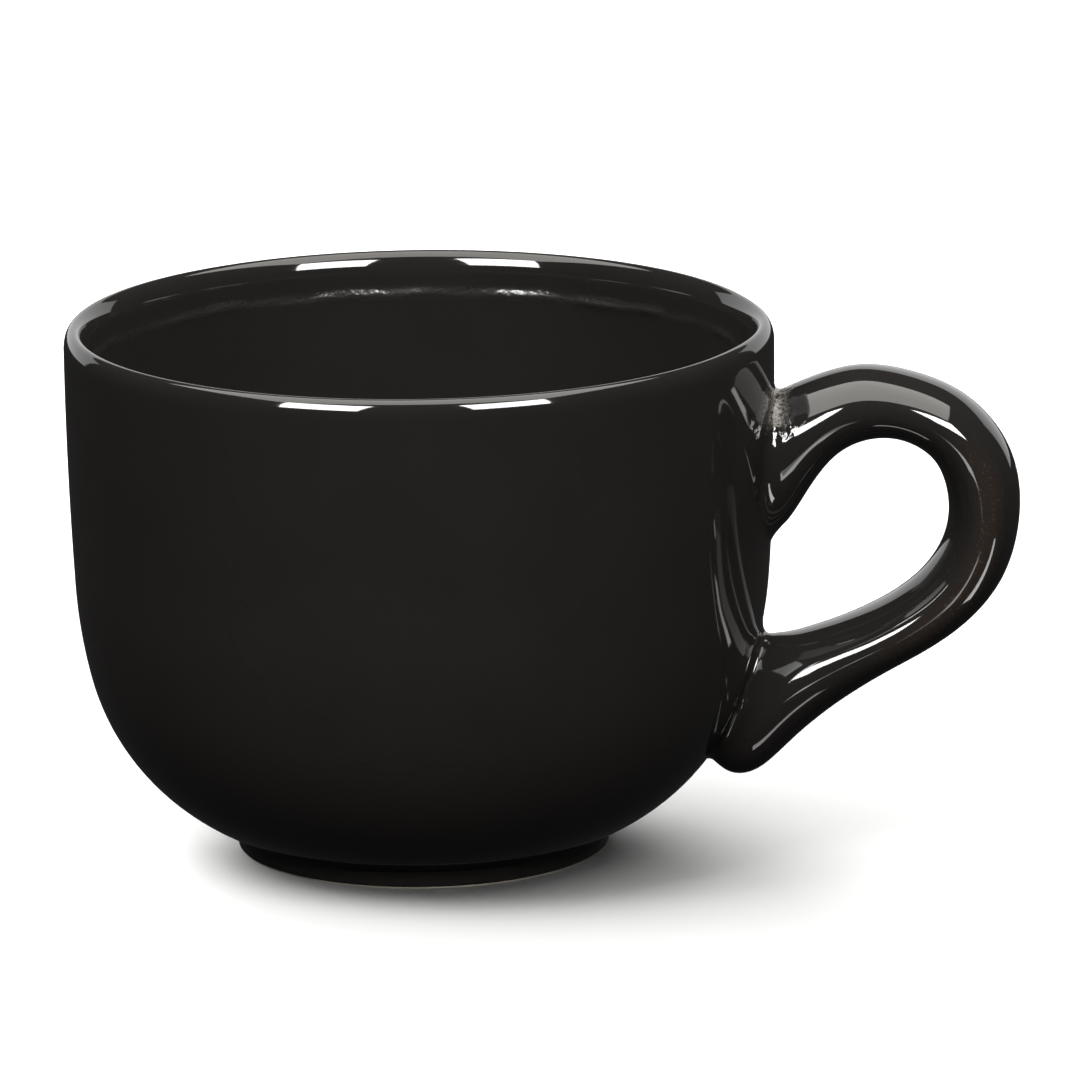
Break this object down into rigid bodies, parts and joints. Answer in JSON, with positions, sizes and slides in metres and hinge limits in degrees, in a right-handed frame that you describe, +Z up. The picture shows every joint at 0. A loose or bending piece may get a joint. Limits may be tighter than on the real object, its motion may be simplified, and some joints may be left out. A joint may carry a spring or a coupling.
{
  "type": "latte mug",
  "caption": "Wide round-bellied stoneware latte mug on a low foot ring, with a looped handle luted on at two roots and a black gloss glaze.",
  "frame": {"origin": "on the cup's axis, in the plane of the table that the foot ring stands on", "axes": "+Z up along the cup's axis, +X from the axis towards the handle"},
  "size_m": [0.1462, 0.108, 0.082],
  "materials": {
    "stoneware": "bare fired clay, matt and slightly gritty",
    "black_glaze": "high gloss"
  },
  "bodies": {
    "root": {"cup_body": "stoneware", "handle": "stoneware", "upper_slip_joint": "stoneware", "lower_slip_joint": "stoneware", "outer_glaze": "black_glaze", "inner_glaze": "black_glaze", "handle_glaze": "black_glaze", "foot_recess_glaze": "black_glaze"}
  },
  "joints": []
}
